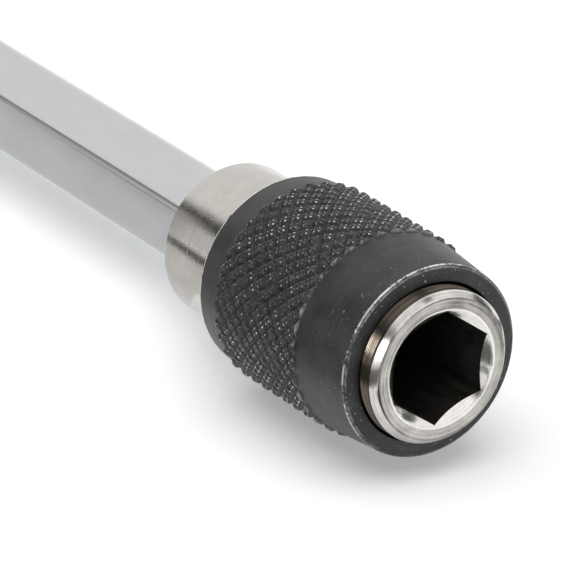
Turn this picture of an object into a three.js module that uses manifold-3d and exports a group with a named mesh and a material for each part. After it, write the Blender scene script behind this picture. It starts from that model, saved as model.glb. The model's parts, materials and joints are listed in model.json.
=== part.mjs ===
// Bit driver: a quick-release chuck for 1/4 inch hex bits, on a hex bar with a moulded handle.
// Millimetres. The tool lies along X with its nose at +X, and Z is up.
// "Back" below means the distance behind the front face of the nose.
import * as THREE from 'three';
import { mergeVertices } from 'three/addons/utils/BufferGeometryUtils.js';
import Module from 'manifold-3d';

const wasm = await Module();
wasm.setup();

// Hex drive
const HEX_ACROSS_FLATS = 6.35;
const BIT_PLAY = 0.05;
const SOCKET_DEPTH = 14.5;
const HEX_ROLL = -4.3;
const MOUTH_LEAD = 0.17;
const MOUTH_HALF_ANGLE = 51;

// Chuck body
const BODY_WALL = 0.8;
const NOSE_STEP = 0.5;
const NOSE_EDGE_WIDTH = 0.4;
const NOSE_EDGE_LENGTH = 0.47;
const NOSE_PROUD = 1.3;
const NOSE_TAIL = 0.7;
const MAGNET_RADIUS = 2.6;
const MAGNET_LENGTH = 2.4;

// Lock ball
const BALL_GRIP = 0.54;
const BALL_PROUD = 0.06;
const BALL_SEAT_SHARE = 0.94;

// Release sleeve, from front to rear
const RELEASE_TRAVEL = 2.7;
const LIP_LENGTH = 1;
const LIP_GAP = 0.17;
const FRONT_EDGE_WIDTH = 0.27;
const FRONT_EDGE_LENGTH = 0.3;
const BAND_LENGTH = 4.9;
const BAND_TAPER = 0.4;
const KNURL_LENGTH = 8.8;
const KNURL_DEPTH = 0.23;
const KNURL_START_COUNT = 36;
const TAIL_LENGTH = 2.5;
const TAIL_TAPER = 0.18;
const TAIL_EDGE = 0.25;
const SLEEVE_WALL = 1.35;
const LAND_LENGTH = 1.5;

// Return spring and rear collar
const WIRE_DIAMETER = 0.6;
const SPRING_COIL_COUNT = 4.5;
const COLLAR_COVERED = 0.9;
const COLLAR_SHOWN = 6.43;
const COLLAR_EDGE = 0.3;
const COLLAR_OVERHANG = 0.3;

// Hex bar
const SHAFT_SHOWN = 76;
const SHAFT_EMBED = 64;
const SHAFT_END_CHAMFER = 0.5;
const WING_SPAN = 12;
const WING_THICKNESS = 2.2;
const WING_LENGTH = 12;
const WING_FROM_END = 6;

// Handle: runs between the places where its radius is greatest or least, from front to rear
const BOLSTER_RADIUS = 6.6;
const BOLSTER_EDGE = 0.6;
const BOLSTER_RUN = 20;
const GUARD_RADIUS = 11.6;
const NECK_RUN = 14;
const NECK_RADIUS = 10.2;
const SWELL_RUN = 34;
const BELLY_RADIUS = 16.5;
const TAPER_RUN = 32;
const TAIL_RADIUS = 13;
const GRIP_LEAD = 4;
const GRIP_TRAIL = 8;
const GRIP_WALL = 2.2;
const FLUTE_COUNT = 6;
const FLUTE_SHARE = 0.075;
const FLUTE_FADE = 14;
const CAP_LENGTH = 5;
const CAP_FLAT_RADIUS = 8;
const CAP_SPIGOT_RADIUS = 7;
const CAP_SPIGOT_LENGTH = 8;

// Clearances
const SLIDE_GAP = 0.1;
const SPRING_GAP = 0.1;
const PRESS_GAP = 0.03;
const STOP_GAP = 0.05;
const CAM_GAP = 0.03;
const MOULD_GAP = 0.1;

// Facets
const ROUND = 2 * KNURL_START_COUNT;
const HANDLE_ROUND = 48;
const HANDLE_RINGS = 14;
const SMALL_ROUND = 24;
const CAP_STEPS = 5;
const COIL_STEPS = 24;
const WIRE_SIDES = 6;
const HEX_SIDES = 6;
const BALL_ROUND = 16;
const BALL_RINGS = 12;
const TAIL_STEPS = 2;
const CUT_OVERRUN = 1;
const WELD = 1e-4;

// Radii of the chuck, from the socket outwards
const SOCKET_FLAT = (HEX_ACROSS_FLATS + BIT_PLAY) / 2;
const SOCKET_CORNER = hexCorner(2 * SOCKET_FLAT);
const MOUTH_RADIUS = SOCKET_CORNER + MOUTH_LEAD;
const SPIGOT_RADIUS = SOCKET_CORNER + BODY_WALL;
const NOSE_RADIUS = SPIGOT_RADIUS + NOSE_STEP;
const CHAMBER_RADIUS = SPIGOT_RADIUS + WIRE_DIAMETER + 2 * SPRING_GAP;
const COLLAR_RADIUS = CHAMBER_RADIUS - SLIDE_GAP;
const KNURL_ROOT_RADIUS = CHAMBER_RADIUS + SLEEVE_WALL;
const KNURL_CREST_RADIUS = KNURL_ROOT_RADIUS + KNURL_DEPTH;
const BAND_FRONT_RADIUS = KNURL_ROOT_RADIUS - BAND_TAPER;

// The locked ball reaches from inside the socket to just outside the nose
const BALL_RADIUS = (NOSE_RADIUS + BALL_PROUD - SOCKET_FLAT + BALL_GRIP) / 2;
const BALL_ORBIT = SOCKET_FLAT - BALL_GRIP + BALL_RADIUS;
const BALL_ANGLE = HEX_ROLL + 90;
const LIP_BORE = NOSE_RADIUS + LIP_GAP;
const BALL_HALF_CHORD = Math.sqrt(BALL_RADIUS ** 2 - Math.max(LIP_BORE - BALL_ORBIT - BALL_GRIP, 0) ** 2);

// Places along the chuck
const SLEEVE_FRONT = NOSE_PROUD;
const LIP_REAR = SLEEVE_FRONT + LIP_LENGTH;
const BALL_BACK = LIP_REAR + RELEASE_TRAVEL + BALL_HALF_CHORD + SLIDE_GAP;
const NOSE_REAR = BALL_BACK + BALL_RADIUS + NOSE_TAIL;
const LAND_FRONT = NOSE_REAR + STOP_GAP;
const LAND_REAR = LAND_FRONT + LAND_LENGTH;
const KNURL_FRONT = SLEEVE_FRONT + BAND_LENGTH;
const KNURL_REAR = KNURL_FRONT + KNURL_LENGTH;
const SLEEVE_REAR = KNURL_REAR + TAIL_LENGTH;
const COLLAR_FRONT = SLEEVE_REAR - COLLAR_COVERED;
const COLLAR_REAR = SLEEVE_REAR + COLLAR_SHOWN;
const SPIGOT_REAR = COLLAR_REAR - COLLAR_OVERHANG;
const MAGNET_REAR = SOCKET_DEPTH + MAGNET_LENGTH;
const SHAFT_FRONT = MAGNET_REAR + MOULD_GAP;

// Places along the handle
const HANDLE_FRONT = COLLAR_REAR + SHAFT_SHOWN;
const GUARD_BACK = HANDLE_FRONT + BOLSTER_RUN;
const NECK_BACK = GUARD_BACK + NECK_RUN;
const BELLY_BACK = NECK_BACK + SWELL_RUN;
const CORE_REAR = BELLY_BACK + TAPER_RUN;
const TOOL_LENGTH = CORE_REAR + MOULD_GAP + CAP_LENGTH;
const GRIP_FRONT = GUARD_BACK - GRIP_LEAD;
const GRIP_REAR = CORE_REAR - GRIP_TRAIL;
const SHAFT_REAR = HANDLE_FRONT + SHAFT_EMBED;
const WING_REAR = SHAFT_REAR - WING_FROM_END;

const STEEL = { color: 0xc4c2be, roughness: 0.3, metalness: 1 };
const BLACK_OXIDE = { color: 0x3a3a3c, roughness: 0.45, metalness: 0.8 };
const SPRING_STEEL = { color: 0x8b8d90, roughness: 0.35, metalness: 1 };
const MAGNET_NICKEL = { color: 0xb0b0ae, roughness: 0.25, metalness: 1 };
const HARD_PLASTIC = { color: 0x33363a, roughness: 0.5, metalness: 0 };
const SOFT_RUBBER = { color: 0x17181a, roughness: 0.85, metalness: 0 };

// Distance from the centre to a corner of a hexagon
function hexCorner(acrossFlats) {
  return acrossFlats / Math.sqrt(3);
}

function radians(degrees) {
  return degrees * Math.PI / 180;
}

// A turned solid from [radius, back] points that close on themselves or end on the axis
function turned(profile, segments = ROUND) {
  const points = profile.map(([radius, back]) => new THREE.Vector2(radius, -back));
  if (THREE.ShapeUtils.area(points) < 0) {
    points.reverse();
  }
  if (points.every((point) => point.x > 0)) {
    points.push(points[0].clone());
  }
  return new THREE.LatheGeometry(points, segments);
}

// A straight cutter or bar around the tool's axis, with its first corner turned by roll degrees
function axialPrism(radius, front, rear, segments, roll = 0, rearRadius = radius) {
  const prism = new THREE.CylinderGeometry(radius, rearRadius, rear - front, segments);
  prism.rotateY(radians(roll));
  prism.translate(0, -(front + rear) / 2, 0);
  return prism;
}

// A straight drill from the tool's axis outwards, between two distances from the axis
function radialDrill(radius, inner, outer, back, angle) {
  const drill = new THREE.CylinderGeometry(radius, radius, outer - inner, SMALL_ROUND);
  drill.translate(0, (inner + outer) / 2, 0);
  drill.rotateX(Math.PI / 2);
  drill.rotateY(radians(angle));
  drill.translate(0, -back, 0);
  return drill;
}

// A closed geometry as a solid that can be joined and cut
function toSolid(geometry) {
  const bare = geometry.clone();
  bare.deleteAttribute('normal');
  bare.deleteAttribute('uv');
  const welded = mergeVertices(bare, WELD);
  const corners = welded.index.array;
  const triangles = [];
  for (let i = 0; i < corners.length; i += 3) {
    const [a, b, c] = corners.slice(i, i + 3);
    if (a !== b && b !== c && c !== a) {
      triangles.push(a, b, c);
    }
  }
  return new wasm.Manifold(new wasm.Mesh({
    numProp: 3,
    vertProperties: new Float32Array(welded.attributes.position.array),
    triVerts: new Uint32Array(triangles),
  }));
}

function toGeometry(solid) {
  const mesh = solid.getMesh();
  const geometry = new THREE.BufferGeometry();
  geometry.setAttribute('position', new THREE.BufferAttribute(mesh.vertProperties, 3));
  geometry.setIndex(new THREE.BufferAttribute(mesh.triVerts, 1));
  geometry.computeVertexNormals();
  return geometry;
}

function cut(geometry, cutters) {
  const solid = cutters.reduce((rest, cutter) => rest.subtract(toSolid(cutter)), toSolid(geometry));
  return toGeometry(solid);
}

// A ring-shaped solid through sections that close on themselves. Each section is { back, radiusAt },
// where radiusAt gives the radius at facet k. Facets are split along alternate diagonals.
function ringSolid(sections, segments) {
  const positions = [];
  for (const { back, radiusAt } of sections) {
    for (let k = 0; k < segments; k += 1) {
      const angle = 2 * Math.PI * k / segments;
      positions.push(radiusAt(k) * Math.sin(angle), -back, radiusAt(k) * Math.cos(angle));
    }
  }
  const index = [];
  sections.forEach((section, j) => {
    const next = (j + 1) % sections.length;
    for (let k = 0; k < segments; k += 1) {
      const a = j * segments + k;
      const b = j * segments + (k + 1) % segments;
      const c = next * segments + k;
      const d = next * segments + (k + 1) % segments;
      if ((j + k) % 2 === 0) {
        index.push(a, d, b, a, c, d);
      } else {
        index.push(a, c, b, b, c, d);
      }
    }
  });
  const geometry = new THREE.BufferGeometry();
  geometry.setAttribute('position', new THREE.Float32BufferAttribute(positions, 3));
  geometry.setIndex(index);
  geometry.computeVertexNormals();
  return geometry;
}

function roundSection(radius, back) {
  return { back, radiusAt: () => radius };
}

// Nose with its socket, and the thinner spigot behind it that the sleeve, spring and collar sit on
function chuckBody() {
  const blank = turned([
    [0, 0],
    [NOSE_RADIUS - NOSE_EDGE_WIDTH, 0],
    [NOSE_RADIUS, NOSE_EDGE_LENGTH],
    [NOSE_RADIUS, NOSE_REAR],
    [SPIGOT_RADIUS, NOSE_REAR],
    [SPIGOT_RADIUS, SPIGOT_REAR],
    [0, SPIGOT_REAR],
  ]);
  const mouthSlope = Math.tan(radians(MOUTH_HALF_ANGLE));
  const mouthDepth = MOUTH_RADIUS / mouthSlope;
  const mouthStart = MOUTH_RADIUS + CUT_OVERRUN * mouthSlope;
  const shaftBore = hexCorner(HEX_ACROSS_FLATS + 2 * PRESS_GAP);
  const ballSeat = Math.sqrt(1 - BALL_SEAT_SHARE ** 2) * BALL_RADIUS;
  const seatRadius = BALL_ORBIT - ballSeat - STOP_GAP;
  return cut(blank, [
    axialPrism(SOCKET_CORNER, -CUT_OVERRUN, SOCKET_DEPTH, HEX_SIDES, HEX_ROLL),
    axialPrism(mouthStart, -CUT_OVERRUN, mouthDepth, ROUND, 0, 0),
    axialPrism(MAGNET_RADIUS + PRESS_GAP, 0, SHAFT_FRONT, ROUND),
    axialPrism(shaftBore, MAGNET_REAR, SPIGOT_REAR + CUT_OVERRUN, HEX_SIDES, HEX_ROLL),
    radialDrill(BALL_RADIUS + STOP_GAP, seatRadius, NOSE_RADIUS + CUT_OVERRUN, BALL_BACK, BALL_ANGLE),
    radialDrill(BALL_RADIUS * BALL_SEAT_SHARE, 0, NOSE_RADIUS, BALL_BACK, BALL_ANGLE),
  ]);
}

// Knurled sleeve. Inside, a cone that opens to the front lets the ball out as the sleeve is pulled back.
function releaseSleeve() {
  const slope = BALL_GRIP / RELEASE_TRAVEL;
  const coneAtBall = BALL_ORBIT + (BALL_RADIUS + CAM_GAP) * Math.hypot(1, slope);
  const guideBore = NOSE_RADIUS + SLIDE_GAP;
  const reliefBore = BALL_ORBIT + BALL_GRIP + BALL_RADIUS + CAM_GAP;
  const coneFront = BALL_BACK - (reliefBore - coneAtBall) / slope;
  const coneRear = BALL_BACK + (coneAtBall - guideBore) / slope;
  const landBore = SPIGOT_RADIUS + SLIDE_GAP;
  const tailRadius = KNURL_ROOT_RADIUS - TAIL_TAPER;
  const band = [
    roundSection(LIP_BORE, SLEEVE_FRONT),
    roundSection(BAND_FRONT_RADIUS - FRONT_EDGE_WIDTH, SLEEVE_FRONT),
    roundSection(BAND_FRONT_RADIUS, SLEEVE_FRONT + FRONT_EDGE_LENGTH),
    roundSection(KNURL_ROOT_RADIUS, KNURL_FRONT),
  ];
  const sections = [
    ...band,
    ...knurlSections(band.length),
    roundSection(KNURL_ROOT_RADIUS, KNURL_REAR),
    roundSection(tailRadius, SLEEVE_REAR - TAIL_EDGE),
    roundSection(tailRadius - TAIL_EDGE, SLEEVE_REAR),
    roundSection(CHAMBER_RADIUS, SLEEVE_REAR),
    roundSection(CHAMBER_RADIUS, LAND_REAR),
    roundSection(landBore, LAND_REAR),
    roundSection(landBore, LAND_FRONT),
    roundSection(guideBore, LAND_FRONT),
    roundSection(guideBore, coneRear),
    roundSection(reliefBore, coneFront),
    roundSection(reliefBore, LIP_REAR),
    roundSection(LIP_BORE, LIP_REAR),
  ];
  return ringSolid(sections, ROUND);
}

// Diamond knurl: crests and groove crossings alternate like a chessboard around and along the sleeve.
// Grooves lean by 45 degrees, so two rows take as much length as one start takes around.
function knurlSections(firstRow) {
  const around = 2 * Math.PI * KNURL_ROOT_RADIUS / KNURL_START_COUNT;
  const rows = Math.max(2, Math.round(2 * KNURL_LENGTH / around));
  const sections = [];
  for (let row = 1; row < rows; row += 1) {
    const back = KNURL_FRONT + KNURL_LENGTH * row / rows;
    const parity = (firstRow + row - 1) % 2;
    const radiusAt = (k) => ((k + parity) % 2 === 0 ? KNURL_ROOT_RADIUS : KNURL_CREST_RADIUS);
    sections.push({ back, radiusAt });
  }
  return sections;
}

function rearCollar() {
  const bore = SPIGOT_RADIUS + PRESS_GAP;
  return turned([
    [bore, COLLAR_FRONT],
    [COLLAR_RADIUS, COLLAR_FRONT],
    [COLLAR_RADIUS, COLLAR_REAR - COLLAR_EDGE],
    [COLLAR_RADIUS - COLLAR_EDGE, COLLAR_REAR],
    [bore, COLLAR_REAR],
  ]);
}

// Coil spring between the sleeve's land and the collar, as one unbroken round wire
function returnSpring() {
  const radius = (SPIGOT_RADIUS + CHAMBER_RADIUS) / 2;
  const front = LAND_REAR + STOP_GAP + WIRE_DIAMETER / 2;
  const rear = COLLAR_FRONT - STOP_GAP - WIRE_DIAMETER / 2;
  const steps = Math.round(SPRING_COIL_COUNT * COIL_STEPS);
  const centres = [];
  const positions = [];
  for (let step = 0; step <= steps; step += 1) {
    const angle = 2 * Math.PI * SPRING_COIL_COUNT * step / steps;
    const outward = new THREE.Vector3(Math.sin(angle), 0, Math.cos(angle));
    const back = front + (rear - front) * step / steps;
    const centre = outward.clone().multiplyScalar(radius).setY(-back);
    centres.push(centre);
    for (let side = 0; side < WIRE_SIDES; side += 1) {
      const around = 2 * Math.PI * side / WIRE_SIDES;
      const point = centre.clone().addScaledVector(outward, Math.cos(around) * WIRE_DIAMETER / 2);
      point.y += Math.sin(around) * WIRE_DIAMETER / 2;
      positions.push(point.x, point.y, point.z);
    }
  }
  const index = [];
  for (let step = 0; step < steps; step += 1) {
    for (let side = 0; side < WIRE_SIDES; side += 1) {
      const a = step * WIRE_SIDES + side;
      const b = step * WIRE_SIDES + (side + 1) % WIRE_SIDES;
      index.push(a, a + WIRE_SIDES, b, b, a + WIRE_SIDES, b + WIRE_SIDES);
    }
  }
  const last = steps * WIRE_SIDES;
  for (let side = 1; side < WIRE_SIDES - 1; side += 1) {
    index.push(0, side, side + 1, last, last + side + 1, last + side);
  }
  console.log(`return_spring: least gap between turns ${leastTurnGap(centres).toFixed(2)} mm`);
  const geometry = new THREE.BufferGeometry();
  geometry.setAttribute('position', new THREE.Float32BufferAttribute(positions, 3));
  geometry.setIndex(index);
  geometry.computeVertexNormals();
  return geometry;
}

// Least distance from the wire's surface to itself, between points more than half a turn apart
function leastTurnGap(centres) {
  let least = Infinity;
  for (let i = 0; i < centres.length; i += 1) {
    for (let j = i + COIL_STEPS / 2; j < centres.length; j += 1) {
      least = Math.min(least, centres[i].distanceTo(centres[j]));
    }
  }
  return least - WIRE_DIAMETER;
}

function lockBall() {
  const ball = new THREE.SphereGeometry(BALL_RADIUS, BALL_ROUND, BALL_RINGS);
  const angle = radians(BALL_ANGLE);
  ball.translate(BALL_ORBIT * Math.sin(angle), -BALL_BACK, BALL_ORBIT * Math.cos(angle));
  return ball;
}

function bitMagnet() {
  return axialPrism(MAGNET_RADIUS, SOCKET_DEPTH, MAGNET_REAR, ROUND);
}

// Hex bar with chamfered ends, and flattened wings that stop it turning in the handle
function driveShaft() {
  const corner = hexCorner(HEX_ACROSS_FLATS);
  const bar = turned([
    [0, SHAFT_FRONT],
    [corner - SHAFT_END_CHAMFER, SHAFT_FRONT],
    [corner, SHAFT_FRONT + SHAFT_END_CHAMFER],
    [corner, SHAFT_REAR - SHAFT_END_CHAMFER],
    [corner - SHAFT_END_CHAMFER, SHAFT_REAR],
    [0, SHAFT_REAR],
  ], HEX_SIDES);
  bar.rotateY(radians(HEX_ROLL));
  return toGeometry(toSolid(bar).add(toSolid(wings(0))));
}

function wings(gap) {
  const plate = new THREE.BoxGeometry(
    WING_SPAN + 2 * gap,
    WING_LENGTH + 2 * gap,
    WING_THICKNESS + 2 * gap,
  );
  plate.translate(0, -(WING_REAR - WING_LENGTH / 2), 0);
  return plate;
}

// Outer radius of the handle over its crests: smooth swells between the places named at the top
function handleRadius(back) {
  const stations = [
    [HANDLE_FRONT, BOLSTER_RADIUS],
    [GUARD_BACK, GUARD_RADIUS],
    [NECK_BACK, NECK_RADIUS],
    [BELLY_BACK, BELLY_RADIUS],
    [CORE_REAR, TAIL_RADIUS],
  ];
  for (let i = 1; i < stations.length; i += 1) {
    const [start, from] = stations[i - 1];
    const [end, to] = stations[i];
    if (back <= end) {
      const ease = 0.5 - 0.5 * Math.cos(Math.PI * (back - start) / (end - start));
      return from + (to - from) * ease;
    }
  }
  return TAIL_RADIUS;
}

// Depth of the flutes as a share of the radius, fading out towards both ends of the grip
function fluteShare(back) {
  const fromEnd = Math.min(back - GRIP_FRONT, GRIP_REAR - back);
  return FLUTE_SHARE * THREE.MathUtils.smoothstep(fromEnd, 0, FLUTE_FADE);
}

// Radius of the hard core under the grip: a grip wall below the bottom of the flutes
function coreRadius(back) {
  return handleRadius(back) * (1 - fluteShare(back)) - GRIP_WALL;
}

function evenSteps(from, to, count) {
  return Array.from({ length: count + 1 }, (_, i) => from + (to - from) * i / count);
}

function handleCore() {
  const bolster = evenSteps(HANDLE_FRONT + BOLSTER_EDGE, GRIP_FRONT, CAP_STEPS);
  const underGrip = evenSteps(GRIP_FRONT, GRIP_REAR, HANDLE_RINGS);
  const tail = evenSteps(GRIP_REAR, CORE_REAR, TAIL_STEPS);
  const blank = turned([
    [0, HANDLE_FRONT],
    [BOLSTER_RADIUS - BOLSTER_EDGE, HANDLE_FRONT],
    ...bolster.map((back) => [handleRadius(back), back]),
    ...underGrip.map((back) => [coreRadius(back), back]),
    ...tail.map((back) => [handleRadius(back), back]),
    [0, CORE_REAR],
  ], HANDLE_ROUND);
  const bore = hexCorner(HEX_ACROSS_FLATS + 2 * MOULD_GAP);
  const pocket = CORE_REAR - CAP_SPIGOT_LENGTH - MOULD_GAP;
  return cut(blank, [
    axialPrism(bore, HANDLE_FRONT - CUT_OVERRUN, SHAFT_REAR + MOULD_GAP, HEX_SIDES, HEX_ROLL),
    wings(MOULD_GAP),
    axialPrism(CAP_SPIGOT_RADIUS + PRESS_GAP, pocket, CORE_REAR + CUT_OVERRUN, HANDLE_ROUND),
  ]);
}

// Soft grip: fluted outside, round inside, between the two shoulders of the core
function softGrip() {
  const front = GRIP_FRONT + MOULD_GAP;
  const rear = GRIP_REAR - MOULD_GAP;
  const places = evenSteps(front, rear, HANDLE_RINGS);
  const outside = places.map((back) => ({ back, radiusAt: (k) => gripRadius(back, k) }));
  const inside = places.map((back) => roundSection(coreRadius(back) + MOULD_GAP, back));
  return ringSolid([...outside, ...inside.reverse()], HANDLE_ROUND);
}

// Outside of the grip at facet k, with a flute facing straight up and straight down
function gripRadius(back, k) {
  const wave = 0.5 + 0.5 * Math.cos(FLUTE_COUNT * 2 * Math.PI * k / HANDLE_ROUND);
  return handleRadius(back) * (1 - fluteShare(back) * wave);
}

// Hard plug with a rounded edge and a flat end
function endCap() {
  const front = CORE_REAR + MOULD_GAP;
  const edge = evenSteps(0, Math.PI / 2, CAP_STEPS).map((angle) => [
    CAP_FLAT_RADIUS + (TAIL_RADIUS - CAP_FLAT_RADIUS) * Math.cos(angle),
    front + CAP_LENGTH * Math.sin(angle),
  ]);
  return turned([
    [0, CORE_REAR - CAP_SPIGOT_LENGTH],
    [CAP_SPIGOT_RADIUS, CORE_REAR - CAP_SPIGOT_LENGTH],
    [CAP_SPIGOT_RADIUS, front],
    ...edge,
    [0, TOOL_LENGTH],
  ], HANDLE_ROUND);
}

// Height of the axis over the lowest line of the belly, where the grip's flutes are deepest
function axisHeight() {
  const heights = [];
  for (const back of evenSteps(GRIP_FRONT + MOULD_GAP, GRIP_REAR - MOULD_GAP, HANDLE_RINGS)) {
    for (let k = 0; k < HANDLE_ROUND; k += 1) {
      heights.push(gripRadius(back, k) * Math.cos(2 * Math.PI * k / HANDLE_ROUND));
    }
  }
  return Math.max(...heights);
}

function piece(name, geometry, finish) {
  const mesh = new THREE.Mesh(geometry, new THREE.MeshStandardMaterial(finish));
  mesh.name = name;
  return mesh;
}

const chuck = new THREE.Group();
chuck.add(piece('chuck_body', chuckBody(), STEEL));
chuck.add(piece('bit_magnet', bitMagnet(), MAGNET_NICKEL));
chuck.add(piece('lock_ball', lockBall(), STEEL));
chuck.add(piece('release_sleeve', releaseSleeve(), BLACK_OXIDE));
chuck.add(piece('return_spring', returnSpring(), SPRING_STEEL));
chuck.add(piece('rear_collar', rearCollar(), STEEL));

const handle = new THREE.Group();
handle.add(piece('handle_core', handleCore(), HARD_PLASTIC));
handle.add(piece('soft_grip', softGrip(), SOFT_RUBBER));
handle.add(piece('end_cap', endCap(), HARD_PLASTIC));

// The pieces are made around their own Y axis, with the nose at the origin. Here they lie along X.
const tool = new THREE.Group();
tool.add(chuck, handle, piece('drive_shaft', driveShaft(), STEEL));
tool.rotation.z = -Math.PI / 2;
tool.position.set(TOOL_LENGTH / 2, 0, axisHeight());

const bitDriver = new THREE.Group();
bitDriver.add(tool);

export default bitDriver;
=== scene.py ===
# Looks of the bit driver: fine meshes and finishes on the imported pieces, with floor, light and camera.
# "Back" means millimetres behind the front face of the nose. Angles around the tool start at the top (+Z)
# and turn towards -Y. Sizes of the tool are in millimetres, places in the studio are in metres.
import json
import math

import bmesh
import bpy
import numpy as np
from mathutils import Matrix, Vector


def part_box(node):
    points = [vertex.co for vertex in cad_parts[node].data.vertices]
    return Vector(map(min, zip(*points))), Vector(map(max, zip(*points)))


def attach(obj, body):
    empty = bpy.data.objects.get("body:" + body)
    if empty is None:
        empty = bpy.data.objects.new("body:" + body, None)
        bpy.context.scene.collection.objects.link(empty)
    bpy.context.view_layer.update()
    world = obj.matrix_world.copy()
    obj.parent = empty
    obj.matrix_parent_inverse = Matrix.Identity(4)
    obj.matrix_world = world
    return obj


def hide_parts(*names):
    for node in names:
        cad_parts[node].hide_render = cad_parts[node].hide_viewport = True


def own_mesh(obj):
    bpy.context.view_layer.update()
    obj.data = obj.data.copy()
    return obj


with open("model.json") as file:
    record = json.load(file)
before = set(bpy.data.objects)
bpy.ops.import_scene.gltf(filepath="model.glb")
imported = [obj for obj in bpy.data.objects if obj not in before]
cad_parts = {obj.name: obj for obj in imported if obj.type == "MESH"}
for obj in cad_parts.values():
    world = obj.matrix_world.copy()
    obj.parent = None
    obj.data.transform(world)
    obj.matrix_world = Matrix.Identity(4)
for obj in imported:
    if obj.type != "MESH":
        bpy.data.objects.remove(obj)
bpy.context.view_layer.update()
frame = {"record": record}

MM = 0.001

RECORD = frame["record"]
BODY_OF = {node: body for body, nodes in RECORD["behaviour"]["bodies"].items() for node in nodes}

# Frame of the tool: its axis lies along X
BODY_LOW, BODY_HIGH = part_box("chuck_body")
NOSE_X = BODY_HIGH.x
AXIS_Z = (BODY_LOW.z + BODY_HIGH.z) / 2
NOSE_POINT = Vector((NOSE_X, 0, AXIS_Z))


def reach(node):
    """Front and rear of a node, in millimetres behind the nose."""
    low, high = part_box(node)
    return (NOSE_X - high.x) / MM, (NOSE_X - low.x) / MM


def half_width(node):
    """Half of a node's size along Y, in millimetres."""
    low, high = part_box(node)
    return (high.y - low.y) / 2 / MM


# Clearances
PRESS_GAP = 0.03
BALL_GAP = 0.03
STOP_GAP = 0.05
SLIDE_GAP = 0.1
SPRING_GAP = 0.1
MOULD_GAP = 0.1

# Chuck body
HEX_FLAT = 3.175
HEX_ROLL = math.radians(-4.3)
HEX_SIDE_ANGLE = math.pi / 3
SOCKET_FLAT = 3.2
SOCKET_DEPTH = reach("bit_magnet")[0]
MOUTH_RADIUS = 3.865
MOUTH_HALF_ANGLE = math.radians(51)
MOUTH_STEP = 0.04
MOUTH_SHARES = (0.97, 0.66, 0.33)
NOSE_RADIUS = half_width("chuck_body")
NOSE_EDGE_WIDTH = 0.4
NOSE_EDGE_LENGTH = 0.47
NOSE_EASE = 0.1
NOSE_GROOVE_PITCH = 0.14
NOSE_GROOVE_DEPTH = 0.042
NOSE_GROOVE_FALL = 0.09
NOSE_GROOVE_REAR = 4.2
NOSE_TAIL = 0.7
SPIGOT_RADIUS = 4.495
SPIGOT_REAR = reach("chuck_body")[1]
SHAFT_FRONT, SHAFT_REAR = reach("drive_shaft")

# Finishes of the chuck body, in the order of its mesh, and where they meet
FACE, SOCKET, SIDE, EDGE, CONE = range(5)
SOCKET_CORNER = 1.16 * SOCKET_FLAT
FACE_SKIN = 0.03
MOUTH_LIMIT = 1
WALL_TILT = 0.2

# Magnet
MAGNET_RADIUS = half_width("bit_magnet")
MAGNET_REAR = reach("bit_magnet")[1]
MAGNET_EASE = 0.15
MAGNET_CENTRE = 0.2

# Lock ball and its hole
BALL_LOW, BALL_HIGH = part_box("lock_ball")
BALL_CENTRE = (BALL_LOW + BALL_HIGH) / 2
BALL_RADIUS = (BALL_HIGH.x - BALL_LOW.x) / 2 / MM
BALL_ANGLE = HEX_ROLL + math.pi / 2
BALL_BACK = (NOSE_X - BALL_CENTRE.x) / MM
BALL_HOLE_RADIUS = BALL_RADIUS + BALL_GAP
BALL_HOLE_LENGTH = 5
BALL_HOLE_SHIFT = 1.5
BALL_HOLE_SIDES = 48
NOSE_REAR = BALL_BACK + BALL_RADIUS + NOSE_TAIL

# Spring
SPRING_FRONT, SPRING_REAR = reach("return_spring")
SPRING_COILS = 4.5
WIRE_RADIUS = 0.3
SLEEVE_TRAVEL = 2.7

# Release sleeve
SLEEVE_FRONT, SLEEVE_REAR = reach("release_sleeve")
SLEEVE_EASE = 0.04
LIP_BORE = 5.165
LIP_LENGTH = 1
LIP_REAR = SLEEVE_FRONT + LIP_LENGTH
FRONT_EDGE_WIDTH = 0.13
FRONT_EDGE_LENGTH = 0.15
BAND_FRONT_RADIUS = 6.245
TAIL_RADIUS = 6.465
TAIL_EDGE = 0.25
CHAMBER_RADIUS = SPIGOT_RADIUS + 2 * WIRE_RADIUS + 2 * SPRING_GAP
LAND_LENGTH = 1.5
LAND_FRONT = NOSE_REAR + STOP_GAP
LAND_REAR = LAND_FRONT + LAND_LENGTH
LAND_BORE = SPIGOT_RADIUS + SLIDE_GAP
GUIDE_BORE = 5.095
RELIEF_BORE = 5.625
CONE_FRONT = BALL_BACK - SLEEVE_TRAVEL
CONE_REAR = BALL_BACK - STOP_GAP

# Knurl: widths are shares of its pitch, heights are shares of its depth
KNURL_FRONT = 6.2
KNURL_REAR = 15.0
KNURL_RUN_OUT = 0.12
KNURL_CREST = half_width("release_sleeve")
KNURL_DEPTH = 0.23
KNURL_ROOT = KNURL_CREST - KNURL_DEPTH
KNURL_STARTS = 36
KNURL_SEED = 11
KNURL_SLOPE = 0.3
KNURL_CORNER = 0.5 - KNURL_SLOPE
KNURL_RIM = 0.07
GROOVE_WIDTH = 0.06
GROOVE_WALL = 0.1
KNURL_FLOOR = -0.05
KNURL_FLOOR_RISE = 0.25
RIM_HEIGHT = 0.88
DISH_HEIGHT = 0.82
KNURL_DOT = 0.046
DOT_PEAK = 1.25
DOT_HEIGHT = 0.03
UNEVEN_HEIGHT = 0.10
UNEVEN_LEVEL = 0.3

# Wear of the black skin: bare from 1 up. The knurl wears less on the side that faces the dark gap, which
# paints shade there
KNURL_WEAR = 15.0
LEAST_WEAR = 0.06
PAINTED_SHADE_SIDE = math.radians(62)
PAINTED_SHADE_WIDTH = math.radians(26)
PAINTED_SHADE_SHARE = 0.75
RUN_OUT_WEAR = 0.45
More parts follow.
